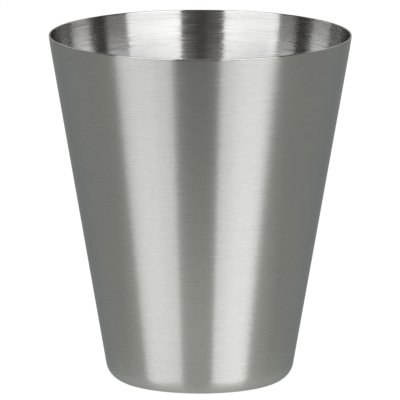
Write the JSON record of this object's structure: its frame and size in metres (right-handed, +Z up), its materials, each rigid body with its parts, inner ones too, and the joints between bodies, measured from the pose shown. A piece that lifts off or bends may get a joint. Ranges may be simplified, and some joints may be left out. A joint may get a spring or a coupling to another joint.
{
  "type": "bathroom tumbler",
  "caption": "Tapered stainless steel bathroom tumbler with a thin round lip, a brushed wall and a pressed-up base panel that holds a non-slip pad.",
  "frame": {"origin": "centre of the pad's underside, on the surface that the tumbler stands on", "axes": "+Z up along the cup's axis, towards the mouth; X and Y are any two directions across it"},
  "size_m": [0.088, 0.088, 0.1025],
  "materials": {
    "brushed_stainless_steel": "brushed round the axis, inside and outside",
    "clear_adhesive": "clear acrylic film",
    "black_rubber": "matte"
  },
  "bodies": {
    "root": {"drawn_cup": "brushed_stainless_steel", "pad_adhesive": "clear_adhesive", "non_slip_pad": "black_rubber"}
  },
  "joints": []
}
